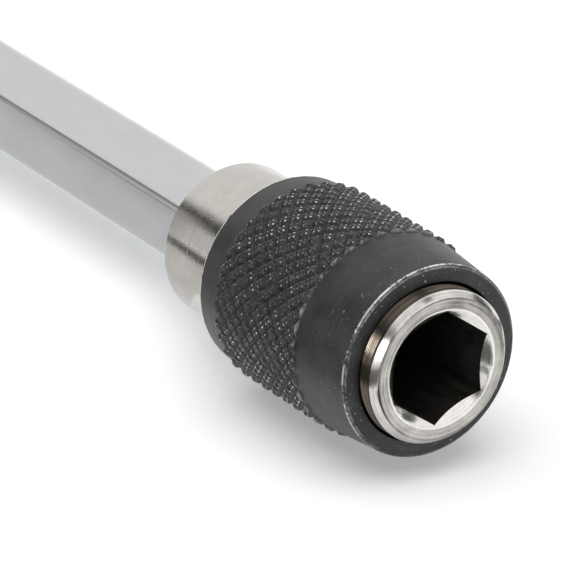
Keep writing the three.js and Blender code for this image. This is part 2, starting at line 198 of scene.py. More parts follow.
# Edges wear more towards the top: real edge wear, made heavier where the light falls, which paints highlight
# there
WEAR_AND_HIGHLIGHT_SIDE = math.radians(10)
WEAR_AND_HIGHLIGHT_MEAN = 0.75
WEAR_AND_HIGHLIGHT_SWING = 0.35
WEAR_WIDTH = 0.1
WEAR_GUARD = 2.6
CHIP_REACH = 4.5

# Edges of the sleeve that wear: back, radius and how much
WORN_EDGES = (
    (SLEEVE_FRONT + FRONT_EDGE_LENGTH, BAND_FRONT_RADIUS, 1.3),
    (SLEEVE_FRONT, BAND_FRONT_RADIUS - FRONT_EDGE_WIDTH, 0.4),
    (SLEEVE_REAR, TAIL_RADIUS - TAIL_EDGE, 1.0),
    (SLEEVE_REAR - TAIL_EDGE, TAIL_RADIUS, 5.0),
)

# Finishes of the sleeve, in the order of its mesh
SMOOTH, KNURLED = range(2)

# Collar
COLLAR_FRONT, COLLAR_REAR = reach("rear_collar")
COLLAR_RADIUS = half_width("rear_collar")
COLLAR_BORE = SPIGOT_RADIUS + PRESS_GAP
COLLAR_EDGE = 0.3
COLLAR_EASE = 0.12

# Hex bar
BAR_EDGE_ROUND = 0.7
BAR_EDGE_POINTS = 7
BAR_END_CHAMFER = 0.5
WING_THICKNESS = 2.2
WING_LENGTH = 12
WING_FROM_END = 6
WING_EDGE = 0.4

# Handle
HANDLE_FRONT, CORE_REAR = reach("handle_core")
GRIP_FRONT, GRIP_REAR = reach("soft_grip")
CAP_FRONT, CAP_REAR = reach("end_cap")
BOLSTER_RADIUS = 6.6
BOLSTER_EDGE = 0.6
BOLSTER_RUN = 20
GUARD_RADIUS = 11.6
NECK_RUN = 14
NECK_RADIUS = 10.2
SWELL_RUN = 34
BELLY_RADIUS = 16.5
TAIL_END_RADIUS = half_width("end_cap")
RING_DEPTH = 0.45
RING_HALF_WIDTH = 0.5
RING_BACKS = [HANDLE_FRONT + 4.5, HANDLE_FRONT + 6.5, HANDLE_FRONT + 8.5]
POCKET_CENTRE = 2

# Grip
GRIP_WALL = 2.2
GRIP_LIP = 0.5
FLUTES = 6
FLUTE_SHARE = 0.075
FLUTE_FADE = 14
LAND_FADE = 0.3
RIB_PITCH = 3.2
RIB_DEPTH = 0.4
RIB_WIDTH = 0.45
RIB_FRONT = GRIP_FRONT + 26
RIB_REAR = GRIP_REAR - 14

# Cap
CAP_LENGTH = 5
CAP_FLAT_RADIUS = 8
CAP_SPIGOT_RADIUS = 7
CAP_SPIGOT_LENGTH = 8
CAP_CENTRE = 0.3
DISH_RADIUS = 6.2
DISH_FLOOR_RADIUS = 5.8
DISH_DEPTH = 0.5

# Fineness of the meshes
AROUND = 360
TURNS = HEX_ROLL + np.arange(AROUND) * 2 * math.pi / AROUND
CORNER_STEPS = 3
COLLAR_CORNER_STEPS = 4
ROUND_LIMIT = 0.3
GUARD_LIMIT = 0.45
SPRING_STEPS = 60
WIRE_SIDES = 14
BOLSTER_RINGS = 140
BED_RINGS = 60
TAIL_RINGS = 8
CAP_EDGE_RINGS = 16
GRIP_AROUND = 216
GRIP_RINGS = 390
GRIP_INNER_STRIDE = 12
CREASE = math.radians(28)
SLEEVE_CREASE = math.radians(80)
BAR_CREASE = math.radians(20)
CUT_TOLERANCE = 1e-8
PLANE_TOLERANCE = 1e-7

# Colours
STEEL_BRIGHT = (0.595, 0.57, 0.53, 1)
STEEL_DULL = (0.15, 0.143, 0.132, 1)
# Nose side: a real brown tint, made much darker than the steel to paint the shade in the gap under the
# sleeve's lip
BROWNED_GAP_SHADE_BRIGHT = (0.15, 0.127, 0.101, 1)
BROWNED_GAP_SHADE_DULL = (0.07, 0.056, 0.044, 1)
CONE_BRIGHT = (0.93, 0.91, 0.88, 1)
CONE_DULL = (0.62, 0.60, 0.58, 1)
EDGE_BRIGHT = (0.86, 0.84, 0.81, 1)
EDGE_DULL = (0.52, 0.50, 0.48, 1)
COLLAR_BRIGHT = (0.595, 0.57, 0.535, 1)
COLLAR_DULL = (0.456, 0.438, 0.412, 1)
SOCKET_DARK = (0.012, 0.011, 0.010, 1)
SOCKET_PALE = (0.045, 0.038, 0.03, 1)
MAGNET_BRIGHT = (0.66, 0.65, 0.63, 1)
MAGNET_DULL = (0.5, 0.49, 0.47, 1)
BALL_BRIGHT = (0.7, 0.7, 0.7, 1)
BALL_DULL = (0.6, 0.6, 0.6, 1)
SPRING_BRIGHT = (0.5, 0.5, 0.51, 1)
SPRING_DULL = (0.36, 0.35, 0.35, 1)
NICKEL_BRIGHT = (0.60, 0.61, 0.615, 1)
NICKEL_DULL = (0.56, 0.57, 0.575, 1)
OXIDE_DARK = (0.006, 0.007, 0.007, 1)
OXIDE_PALE = (0.029, 0.0305, 0.0285, 1)
OXIDE_SCRATCH = (0.10, 0.10, 0.10, 1)
OXIDE_SPECK = (0.3, 0.28, 0.25, 1)
BARE_STEEL = (0.88, 0.88, 0.87, 1)
PLASTIC_DARK = (0.030, 0.032, 0.036, 1)
PLASTIC_PALE = (0.040, 0.042, 0.046, 1)
RUBBER_DARK = (0.011, 0.011, 0.012, 1)
RUBBER_PALE = (0.021, 0.021, 0.022, 1)
FLOOR_COLOUR = (0.9, 0.9, 0.9, 1)
FLOOR_GLOW = (0.96, 0.98, 1, 1)
CARD_COLOUR = (0.01, 0.01, 0.01, 1)
WHITE = (1, 1, 1, 1)

# Most values of a noise lie between these two
NOISE_RANGE = (0.3, 0.7)

# Closeness of lathe marks on end faces, as a share of that on the sides
FACE_MARKS = 0.7

# Camera
CAMERA_FROM_NOSE = Vector((202.731, -145.032, 109.747)) * MM
VIEW_FORWARD = Vector((-0.7685868, 0.5083029, -0.3884616))
VIEW_RIGHT = Vector((0.5413866, 0.8402949, 0.0283729))
LENS = 278.28
CLIP_NEAR = 0.01
CLIP_FAR = 20

# Floor: ends of its slopes along X, and heights in millimetres from the lowest line of the knurl
FLOOR_HALF = 0.6
RAMP_FRONT = 0.087
RAMP_REAR = 0.070
RAMP_STATIONS = 13
STEP_FRONT = 0.025
STEP_REAR = -0.032
STEP_STATIONS = 25
FLOOR_GAP = 0.4
BAR_FLOOR_RISE = 1.3
FLOOR_LIGHT = 0.33

# Cards over the floor: height like the floor's, ends along X, ends along Y and light
CHUCK_CARD_RISE = 0.3
BAR_CARD_RISE = 2.6
FLOOR_CARDS = (
    ("nose_strip", CHUCK_CARD_RISE, (0.079, 0.26), (-0.08, -0.016), 0.10),
    ("mouth_strip", CHUCK_CARD_RISE, (0.1065, 0.124), (-0.0125, -0.001), 0.10),
    ("petal_strip", CHUCK_CARD_RISE, (0.085, 0.112), (0.03, 0.3), 0.10),
    ("collar_strip", BAR_CARD_RISE, (0.026, 0.079), (-0.08, -0.02), 0.08),
    ("bar_strip", BAR_CARD_RISE, (-0.165, 0.026), (-0.08, -0.02), 0.76),
    ("near_strip", BAR_CARD_RISE, (-0.165, 0.079), (-0.02, -0.003), 0.76),
    ("under_strip", BAR_CARD_RISE, (-0.165, 0.079), (-0.0015, 0.0025), 1.8),
)

# Cards beside and above the tool: centre, two half-sides and light
SIDE_FLAG_CENTRE = NOSE_POINT + Vector((0.04, 0.485, 0.06))
BAR_WALL_CENTRE = Vector((-0.115, -0.08, 0.04))
TOP_FLAG_CENTRE = NOSE_POINT + 0.5 * Vector((0.356, 0.233, 0.905))
FLAGS = (
    ("side_flag", SIDE_FLAG_CENTRE, Vector((0.14, 0, 0)), Vector((0, 0, 0.13)), 0.08),
    ("bar_wall", BAR_WALL_CENTRE, Vector((0.085, 0, 0)), Vector((0, 0, 0.03)), 0.45),
    ("top_flag", TOP_FLAG_CENTRE, Vector((0, 0.05, 0)), Vector((0.05, 0, 0)), 0.12),
)

# Lights
LAMP_TOWARDS = Vector((0.487, -0.828, 0.262)).normalized()
LAMP_DISTANCE = 0.6
LAMP_WIDTH = 0.22
LAMP_HEIGHT = 0.18
LAMP_ENERGY = 0.95
SKY_ENERGY = 1.98
SKY_SPREAD = math.radians(72)
SKY_TILT = math.radians(9)
MATT_LIGHT = 0.25

# Light around the tool's axis: degrees and level
SURROUND = (
    (-180, 0.8),
    (-95, 0.95),
    (34, 1.0),
    (48, 0.10),
    (60, 0.05),
    (66, 0.75),
    (92, 0.75),
    (110, 0.6),
    (179, 0.8),
)


# Shapes

def clamped(value):
    return min(max(value, 0), 1)


def ease(share):
    """Half a cosine wave from 0 to 1."""
    return 0.5 - 0.5 * math.cos(math.pi * share)


def smooth(share):
    """Cubic step from 0 to 1."""
    return share * share * (3 - 2 * share)


def radius_of(point):
    """Distance of a point from the tool's axis, in millimetres."""
    return math.hypot(point.y, point.z - AXIS_Z) / MM


def place(back, radius, turn):
    """Points around the tool's axis, in metres."""
    x = NOSE_X - np.asarray(back, float) * MM
    y = -np.asarray(radius, float) * MM * np.sin(turn)
    z = AXIS_Z + np.asarray(radius, float) * MM * np.cos(turn)
    return np.stack(np.broadcast_arrays(x, y, z), axis=-1)


def turned(profile):
    """Rings of points around the axis, from (back, radius) points."""
    return [place(back, radius, TURNS) for back, radius in profile]


def hexagon_radius(flat):
    """Distance from the axis to the side of a hexagon, at each turn."""
    from_side = (TURNS - HEX_ROLL) % HEX_SIDE_ANGLE - HEX_SIDE_ANGLE / 2
    return flat / np.cos(from_side)


def loft(rings, closed=True, capped=False):
    """Points and faces over rings of points. A closed loft joins its last ring to its first."""
    rings = np.asarray(rings)
    grid = np.arange(rings.shape[0] * rings.shape[1]).reshape(rings.shape[:2])
    low = grid if closed else grid[:-1]
    high = np.roll(grid, -1, axis=0) if closed else grid[1:]
    quads = np.stack([low, np.roll(low, -1, axis=1), np.roll(high, -1, axis=1), high], axis=-1)
    faces = quads.reshape(-1, 4).tolist()
    if capped:
        faces += [grid[0].tolist(), grid[-1].tolist()]
    return rings.reshape(-1, 3), faces


def eased(profile, edge, steps=CORNER_STEPS, guard=1.0, closed=True):
    """A profile of (back, radius) points with its corners rounded.
    Guard points stand that many roundings away from each corner, so that wear on an edge ends there.
    An open profile starts and ends in the middle of its first and last corners."""
    corners = np.asarray(profile, float)
    made = []
    for before, corner, after in zip(np.roll(corners, 1, axis=0), corners, np.roll(corners, -1, axis=0)):
        sides = [before - corner, after - corner]
        lengths = [np.linalg.norm(side) for side in sides]
        rounds = [min(edge / length, ROUND_LIMIT) for length in lengths]
        guards = [min(guard * edge / length, GUARD_LIMIT) for length in lengths]
        start, end = [corner + side * share for side, share in zip(sides, rounds)]
        first, last = [corner + side * share for side, share in zip(sides, guards)]
        if guard > 1:
            made.append(first)
        for share in np.linspace(0, 1, steps + 1):
            made.append((1 - share) ** 2 * start + 2 * share * (1 - share) * corner + share ** 2 * end)
        if guard > 1:
            made.append(last)
    if closed:
        return made
    half_corner = len(made) // len(corners) // 2
    return made[half_corner:-half_corner]


# Meshes and pieces

def new_mesh(name, points, faces):
    mesh = bpy.data.meshes.new(name)
    mesh.from_pydata(np.asarray(points).tolist(), [], faces)
    return mesh


def mesh_of(name, work):
    """A new mesh with what a working mesh holds. The working mesh is freed."""
    mesh = bpy.data.meshes.new(name)
    work.to_mesh(mesh)
    work.free()
    return mesh


def shade(mesh, crease=CREASE):
    """Outward faces, smooth but for edges sharper than the crease angle."""
    work = bmesh.new()
    work.from_mesh(mesh)
    bmesh.ops.recalc_face_normals(work, faces=work.faces)
    for face in work.faces:
        face.smooth = True
    for edge in work.edges:
        edge.smooth = edge.calc_face_angle(0.0) < crease
    work.to_mesh(mesh)
    work.free()
    return mesh


def in_scene(name, data):
    """A new object of a mesh, light or camera."""
    made = bpy.data.objects.new(name, data)
    bpy.context.scene.collection.objects.link(made)
    return made


def stand_in(node, mesh, *finishes):
    """A finer piece that takes a node's place on the node's body."""
    for finish in finishes:
        mesh.materials.append(finish)
    piece = in_scene("fine_" + node, mesh)
    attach(piece, BODY_OF[node])
    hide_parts(node)
    return piece


def lofted_piece(node, rings, *finishes, closed=True):
    """A piece over rings of points: closed like a tyre, or open with both ends capped."""
    mesh = new_mesh("fine_" + node, *loft(rings, closed, capped=not closed))
    return stand_in(node, shade(mesh), *finishes)


def carve(piece, mesh, operation):
    """Cut a mesh out of a piece, or join it on."""
    other = in_scene(mesh.name, mesh)
    step = piece.modifiers.new(mesh.name, "BOOLEAN")
    step.operation = operation
    step.solver = "EXACT"
    step.object = other
    graph = bpy.context.evaluated_depsgraph_get()
    piece.data = bpy.data.meshes.new_from_object(piece.evaluated_get(graph))
    piece.modifiers.clear()
    bpy.data.objects.remove(other)


# Shader nodes

def add(tree, kind, **settings):
    made = tree.nodes.new(kind)
    for name, value in settings.items():
        setattr(made, name, value)
    return made


def feed(tree, socket, value):
    """A number, vector or colour on a socket, or a link to it."""
    if isinstance(value, bpy.types.NodeSocket):
        tree.links.new(value, socket)
    else:
        socket.default_value = value


def calc(tree, operation, *values):
    made = add(tree, "ShaderNodeMath", operation=operation)
    for socket, value in zip(made.inputs, values):
        feed(tree, socket, value)
    return made.outputs[0]


def weighted(tree, first, first_weight, second, second_weight):
    """Sum of two values, each times its weight."""
    first_part = calc(tree, "MULTIPLY", first, first_weight)
    second_part = calc(tree, "MULTIPLY", second, second_weight)
    return calc(tree, "ADD", first_part, second_part)


def remap(tree, value, low, high, to_low=0.0, to_high=1.0):
    made = add(tree, "ShaderNodeMapRange")
    for name, number in zip(("From Min", "From Max", "To Min", "To Max"), (low, high, to_low, to_high)):
        made.inputs[name].default_value = number
    feed(tree, made.inputs["Value"], value)
    return made.outputs["Result"]


def mixed(tree, share, first, second):
    """Colour between two others."""
    made = add(tree, "ShaderNodeMix", data_type="RGBA")
    feed(tree, made.inputs["Factor"], share)
    feed(tree, made.inputs["A"], first)
    feed(tree, made.inputs["B"], second)
    return made.outputs["Result"]


def chosen(tree, share, first, second):
    """Shader between two others."""
    made = add(tree, "ShaderNodeMixShader")
    for socket, value in zip(made.inputs, (share, first, second)):
        feed(tree, socket, value)
    return made.outputs[0]


def relief(tree, height, depth):
    """Fine relief of a height from 0 to 1, in metres of depth."""
    made = add(tree, "ShaderNodeBump")
    made.inputs["Strength"].default_value = 1.0
    made.inputs["Distance"].default_value = depth
    feed(tree, made.inputs["Height"], height)
    return made.outputs["Normal"]


def tool_position(tree):
    """Place on the tool, from its axis."""
    coordinates = add(tree, "ShaderNodeTexCoord")
    shifted = add(tree, "ShaderNodeVectorMath", operation="SUBTRACT")
    shifted.inputs[1].default_value = (0, 0, AXIS_Z)
    feed(tree, shifted.inputs[0], coordinates.outputs["Object"])
    return shifted.outputs[0]


def parts_of(tree, vector):
    """A vector's parts along X, Y and Z."""
    made = add(tree, "ShaderNodeSeparateXYZ")
    feed(tree, made.inputs[0], vector)
    return made.outputs


def noise(tree, vector, detail, roughness):
    made = add(tree, "ShaderNodeTexNoise")
    made.inputs["Scale"].default_value = 1.0
    made.inputs["Detail"].default_value = detail
    made.inputs["Roughness"].default_value = roughness
    feed(tree, made.inputs["Vector"], vector)
    return made.outputs["Fac"]


def streaks(tree, scales, detail, roughness):
    """Noise over the tool, with its own number of spots per metre along X, Y and Z."""
    made = add(tree, "ShaderNodeVectorMath", operation="MULTIPLY")
    made.inputs[1].default_value = scales
    feed(tree, made.inputs[0], tool_position(tree))
    return noise(tree, made.outputs[0], detail, roughness)


def spots(tree, scale, detail, roughness):
    """Noise over the tool, with as many spots per metre along X, Y and Z."""
    return streaks(tree, (scale, scale, scale), detail, roughness)


def lathe_marks(tree, across, along, detail, roughness):
    """Turning marks on sides and faces: so many per metre across them, and spots per metre along them."""
    x, y, z = parts_of(tree, tool_position(tree))
    radius = calc(tree, "SQRT", weighted(tree, y, y, z, z))
    station = calc(tree, "ADD", x, calc(tree, "MULTIPLY", radius, FACE_MARKS))
    made = add(tree, "ShaderNodeCombineXYZ")
    for socket, value, scale in zip(made.inputs, (station, y, z), (across, along, along)):
        feed(tree, socket, calc(tree, "MULTIPLY", value, scale))
    return noise(tree, made.outputs[0], detail, roughness)


def new_finish(name):
    material = bpy.data.materials.new(name)
    material.use_nodes = True
    tree = material.node_tree
    return material, tree, tree.nodes["Principled BSDF"]


def dress(tree, shader, colour, roughness, normal):
    """Colour, roughness and relief of a finish."""
    for name, value in (("Base Color", colour), ("Roughness", roughness), ("Normal", normal)):
        feed(tree, shader.inputs[name], value)


# Finishes

def turned_steel(
    name, bright, dull, marked=1.0, pitted=0.8, metallic=1.0, depth=0.005 * MM, grain=3600, fine=4500
):
    """Bright steel with circular tool marks, small pits and thin stains.
    Marked and pitted weigh the marks and pits, and depth is theirs in metres. Fine and grain count the marks
    and pits in a metre."""
    material, tree, shader = new_finish(name)
    marks = lathe_marks(tree, fine, 70, 4.0, 0.7)
    pits = spots(tree, grain, 3.0, 0.6)
    stains = spots(tree, 700, 5.0, 0.65)
    stained = remap(tree, stains, 0.35, 0.7, 0.0, 0.5)
    scored = remap(tree, marks, 0.45, 0.65, 0.0, 0.8 * marked)
    colour = mixed(tree, calc(tree, "ADD", stained, scored), bright, dull)
    roughness = remap(tree, marks, 0.3, 0.75, 0.10, 0.26)
    height = weighted(tree, marks, marked, pits, pitted)
    dress(tree, shader, colour, roughness, relief(tree, height, depth))
    shader.inputs["Metallic"].default_value = metallic
    return material


def socket_steel():
    """Dark scale on the walls of the socket."""
    material, tree, shader = new_finish("socket_steel_finish")
    scale = streaks(tree, (700, 2500, 2500), 3.0, 0.6)
    colour = mixed(tree, remap(tree, scale, 0.3, 0.75), SOCKET_DARK, SOCKET_PALE)
    roughness = remap(tree, scale, *NOISE_RANGE, 0.45, 0.7)
    dress(tree, shader, colour, roughness, relief(tree, scale, 0.01 * MM))
    shader.inputs["Metallic"].default_value = 0.6
    return material


def bar_nickel():
    """Satin nickel with faint lines along the bar."""
    material, tree, shader = new_finish("bar_nickel_finish")
    drawn = streaks(tree, (60, 6000, 6000), 3.0, 0.6)
    clouds = streaks(tree, (180, 500, 500), 4.0, 0.6)
    colour = mixed(tree, remap(tree, clouds, *NOISE_RANGE), NICKEL_BRIGHT, NICKEL_DULL)
    roughness = remap(tree, clouds, *NOISE_RANGE, 0.24, 0.27)
    dress(tree, shader, colour, roughness, relief(tree, drawn, 0.001 * MM))
    shader.inputs["Metallic"].default_value = 1.0
    return material


def black_oxide(name, depth, coarse):
    """Black steel skin, worn bare where the sleeve is rubbed and chipped near its front. The amount of wear
    also paints highlight along the top of the edges and shade on one side of the knurl.
    Depth is that of its grain, in metres. Coarse runs from 0 on turned bands to 1 on gritty ones."""
    material, tree, shader = new_finish(name)
    wear = add(tree, "ShaderNodeAttribute", attribute_name="wear").outputs["Fac"]
    marks = lathe_marks(tree, 9000, 260, 3.0, 0.6)
    clouds = spots(tree, 500, 4.0, 0.6)
    grit = spots(tree, 5500, 2.0, 0.6)
    chips = spots(tree, 4200, 4.0, 0.75)
    patches = spots(tree, 330, 3.0, 0.6)

    black = mixed(tree, remap(tree, clouds, *NOISE_RANGE), OXIDE_DARK, OXIDE_PALE)
    scratched = mixed(tree, remap(tree, marks, 0.56, 0.74, 0.0, 0.35), black, OXIDE_SCRATCH)
    specks = remap(tree, grit, 0.68 - 0.2 * coarse, 0.75)
    specked = mixed(tree, calc(tree, "MULTIPLY", specks, 0.25 + 0.3 * coarse), scratched, OXIDE_SPECK)

    x = parts_of(tree, tool_position(tree))["X"]
    near_front = remap(tree, x, NOSE_X - CHIP_REACH * MM, NOSE_X - SLEEVE_FRONT * MM)
    stray = calc(tree, "MULTIPLY", remap(tree, chips, 0.64, 0.71), near_front)
    broken = remap(tree, weighted(tree, chips, 0.6, patches, 0.6), 0.54, 0.66)
    rubbed = calc(tree, "MINIMUM", calc(tree, "MULTIPLY", wear, broken), 1.0)
    bare = calc(tree, "MAXIMUM", rubbed, stray)

    grain = grit if coarse else marks
    rough = remap(tree, grain, 0.3, 0.75, 0.36 + 0.08 * coarse, 0.52 + 0.15 * coarse)
    roughness = calc(tree, "SUBTRACT", rough, calc(tree, "MULTIPLY", bare, 0.15))
    height = weighted(tree, marks, 1 - coarse, grit, 0.6 + coarse)
    dress(tree, shader, mixed(tree, bare, specked, BARE_STEEL), roughness, relief(tree, height, depth))
    feed(tree, shader.inputs["Metallic"], calc(tree, "MULTIPLY", bare, 0.7))
    shader.inputs["IOR"].default_value = 1.5 - 0.08 * coarse
    return material


def plain_metal(name, bright, dull, rough_low, rough_high, grain):
    """Small bare metal pieces: two tones and two roughnesses in fine grain."""
    material, tree, shader = new_finish(name)
    grains = spots(tree, grain, 4.0, 0.65)
    colour = mixed(tree, remap(tree, grains, *NOISE_RANGE), bright, dull)
    roughness = remap(tree, grains, *NOISE_RANGE, rough_low, rough_high)
    dress(tree, shader, colour, roughness, relief(tree, grains, 0.002 * MM))
    shader.inputs["Metallic"].default_value = 1.0
    return material


def hard_plastic():
    """Dark grey plastic with a fine moulded grain."""
    material, tree, shader = new_finish("hard_plastic_finish")
    grain = spots(tree, 2600, 3.0, 0.6)
    clouds = spots(tree, 90, 3.0, 0.5)
    colour = mixed(tree, remap(tree, clouds, *NOISE_RANGE), PLASTIC_DARK, PLASTIC_PALE)
    roughness = remap(tree, grain, *NOISE_RANGE, 0.42, 0.56)
    dress(tree, shader, colour, roughness, relief(tree, grain, 0.012 * MM))
    return material


def soft_rubber():
    """Matt black rubber with fine pores and a faint bloom."""
    material, tree, shader = new_finish("soft_rubber_finish")
    pores = spots(tree, 3800, 3.0, 0.6)
    bloom = spots(tree, 120, 4.0, 0.6)
    colour = mixed(tree, remap(tree, bloom, 0.35, 0.7), RUBBER_DARK, RUBBER_PALE)
    roughness = remap(tree, bloom, *NOISE_RANGE, 0.66, 0.82)
    dress(tree, shader, colour, roughness, relief(tree, pores, 0.016 * MM))
    shader.inputs["Specular IOR Level"].default_value = 0.35
    return material


def matt_glow(name, colour, roughness, glow, level):
    """Skin without gloss that gives off some light of its own."""
    material, tree, shader = new_finish(name)
    shader.inputs["Base Color"].default_value = colour
    shader.inputs["Roughness"].default_value = roughness
    shader.inputs["Specular IOR Level"].default_value = 0.0
    shader.inputs["Emission Color"].default_value = glow
    shader.inputs["Emission Strength"].default_value = level
    return material, tree, shader


# Chuck

def chuck_body(*finishes):
    """Nose with a countersunk hex socket, shoulder, and the spigot that carries the other chuck pieces."""
    hexagon = hexagon_radius(SOCKET_FLAT)
    bore = hexagon_radius(HEX_FLAT + PRESS_GAP)
    mouth = (MOUTH_RADIUS - hexagon) / math.tan(MOUTH_HALF_ANGLE)
    outside = eased([
        (0, MOUTH_RADIUS),
        (0, NOSE_RADIUS - NOSE_EDGE_WIDTH),
        (NOSE_EDGE_LENGTH, NOSE_RADIUS),
        (NOSE_REAR, NOSE_RADIUS),
        (NOSE_REAR, SPIGOT_RADIUS),
        (SPIGOT_REAR, SPIGOT_RADIUS),
        (SPIGOT_REAR, HEX_FLAT),
    ], NOSE_EASE, closed=False)
    corner_points = CORNER_STEPS + 1
    edge_points = corner_points // 2 + 2 * corner_points
    front_edge = outside[:edge_points]
    behind_edge = outside[edge_points:]
    rings = turned([*front_edge, *nose_grooves(front_edge[-1][0]), *behind_edge])
    rings += turned([
        (SPIGOT_REAR, bore),
        (SHAFT_FRONT, bore),
        (SHAFT_FRONT, MAGNET_RADIUS),
        (SOCKET_DEPTH, MAGNET_RADIUS),
        (SOCKET_DEPTH, hexagon),
        (mouth + MOUTH_STEP, hexagon),
    ])
    rings += turned([
        (mouth * share, MOUTH_RADIUS + (hexagon - MOUTH_RADIUS) * share) for share in MOUTH_SHARES
    ])
    piece = lofted_piece("chuck_body", rings, *finishes)
    drill_ball_hole(piece)
    for face in piece.data.polygons:
        face.material_index = chuck_finish(face)
    return piece


def nose_grooves(start):
    """Fine turned grooves around the side of the nose: they fall towards the rear and rise more steeply."""
    made = []
    for back in np.arange(start, NOSE_GROOVE_REAR, NOSE_GROOVE_PITCH):
        made.append((back + NOSE_GROOVE_FALL, NOSE_RADIUS - NOSE_GROOVE_DEPTH))
        made.append((back + NOSE_GROOVE_PITCH, NOSE_RADIUS))
    return made


def drill_ball_hole(piece):
    """Hole for the lock ball, through one side of the socket."""
    outward = Vector((0, -math.sin(BALL_ANGLE), math.cos(BALL_ANGLE)))
    turn = Vector((0, 0, 1)).rotation_difference(outward).to_matrix().to_4x4()
    middle = BALL_CENTRE + outward * BALL_HOLE_SHIFT * MM
    work = bmesh.new()
    bmesh.ops.create_cone(
        work,
        cap_ends=True,
        segments=BALL_HOLE_SIDES,
        radius1=BALL_HOLE_RADIUS * MM,
        radius2=BALL_HOLE_RADIUS * MM,
        depth=BALL_HOLE_LENGTH * MM,
        matrix=Matrix.Translation(middle) @ turn,
    )
    carve(piece, mesh_of("ball_hole", work), "DIFFERENCE")
    shade(piece.data)


def chuck_finish(face):
    """Which of the chuck body's finishes a face takes."""
    radius = radius_of(face.center)
    back = (NOSE_X - face.center.x) / MM
    sunk = back > FACE_SKIN
    inside = radius < SOCKET_CORNER and sunk
    if inside and (abs(face.normal.x) < WALL_TILT or back > MOUTH_LIMIT):
        return SOCKET
    if radius > SPIGOT_RADIUS and back > NOSE_EDGE_LENGTH:
        return SIDE
    if radius > NOSE_RADIUS - NOSE_EDGE_WIDTH and back <= NOSE_EDGE_LENGTH:
        return EDGE
    if inside or radius < MOUTH_RADIUS and sunk:
        return CONE
    return FACE


def bit_magnet(finish):
    """Disc at the bottom of the socket."""
    profile = eased([
        (SOCKET_DEPTH, MAGNET_CENTRE),
        (SOCKET_DEPTH, MAGNET_RADIUS),
        (MAGNET_REAR, MAGNET_RADIUS),
        (MAGNET_REAR, MAGNET_CENTRE),
    ], MAGNET_EASE, closed=False)
    return lofted_piece("bit_magnet", turned(profile), finish, closed=False)


def lock_ball(finish):
    """Ground steel ball."""
    work = bmesh.new()
    centre = Matrix.Translation(BALL_CENTRE)
    bmesh.ops.create_icosphere(work, subdivisions=5, radius=BALL_RADIUS * MM, matrix=centre)
    return stand_in("lock_ball", shade(mesh_of("fine_lock_ball", work)), finish)


def knurl_grid():
    """Points, faces and wear of the knurl: diamonds with sloping sides, dished tops and worn corners. The
    corners wear less on the side that faces the dark gap, which paints shade there.
    Two sets of grooves lean by 45 degrees, and u and v count them."""
    pitch = 2 * math.pi * (KNURL_ROOT + KNURL_DEPTH / 2) / KNURL_STARTS
    wall = [0.0, GROOVE_WIDTH, KNURL_SLOPE - GROOVE_WIDTH, KNURL_SLOPE, KNURL_SLOPE + KNURL_RIM, 0.5]
    shares = np.array(wall + [1 - share for share in wall[-2:0:-1]])
    parts = len(shares)
    rows = int(2 * (KNURL_REAR - KNURL_FRONT + 2 * pitch) / pitch * parts)
    first = np.arange(KNURL_STARTS * parts)[None, :]
    second = first - np.arange(rows)[:, None]
    u_share = shares[first % parts]
    v_share = shares[second % parts]
    u = first // parts + u_share
    v = second // parts + v_share
    turn = math.pi * (u + v) / KNURL_STARTS
    back = KNURL_FRONT - pitch + pitch * (u - v) / 2
    corner = np.hypot(abs(u_share - 0.5) - KNURL_CORNER, abs(v_share - 0.5) - KNURL_CORNER)
    dot = np.clip(DOT_PEAK - corner / KNURL_DOT, 0, 1)

    chance = np.random.default_rng(KNURL_SEED)
    lean = chance.normal(0, 1, (3, KNURL_STARTS, rows))
    rubbed = LEAST_WEAR + (1 - LEAST_WEAR) * chance.random((2, KNURL_STARTS, rows)) ** 3
    cell = (first // parts) % KNURL_STARTS, first // parts - second // parts
    wear = KNURL_WEAR * dot * np.where(u_share < 0.5, rubbed[0][cell], rubbed[1][cell])
    # Less wear on the side that faces the dark gap: painted shade, with fewer bright worn dots there
    from_painted_shade = (turn - PAINTED_SHADE_SIDE + math.pi) % (2 * math.pi) - math.pi
    wear = wear * (1 - PAINTED_SHADE_SHARE * np.exp(-((from_painted_shade / PAINTED_SHADE_WIDTH) ** 2)))

    from_groove = np.minimum(0.5 - abs(u_share - 0.5), 0.5 - abs(v_share - 0.5))
    steps = (0, GROOVE_WIDTH, KNURL_SLOPE, 0.5)
    heights = (KNURL_FLOOR, KNURL_FLOOR + KNURL_FLOOR_RISE, RIM_HEIGHT, DISH_HEIGHT)
    height = np.interp(from_groove, steps, heights) + DOT_HEIGHT * dot
    tilt = lean[0][cell] * (u_share - 0.5) + lean[1][cell] * (v_share - 0.5)
    uneven = tilt + UNEVEN_LEVEL * lean[2][cell]
    height = height + np.where(from_groove > GROOVE_WALL, UNEVEN_HEIGHT * np.clip(uneven, -1, 1), 0)

    points = place(back, KNURL_ROOT + KNURL_DEPTH * np.clip(height, KNURL_FLOOR, 1), turn)
    grid = np.arange(points.shape[0] * points.shape[1]).reshape(points.shape[:2])
    after = np.roll(grid, -1, axis=1)
    quads = np.stack([grid[1:-1], after[2:], after[1:-1], grid[:-2]], axis=-1)
    return points.reshape(-1, 3), quads.reshape(-1, 4).tolist(), wear.reshape(-1)


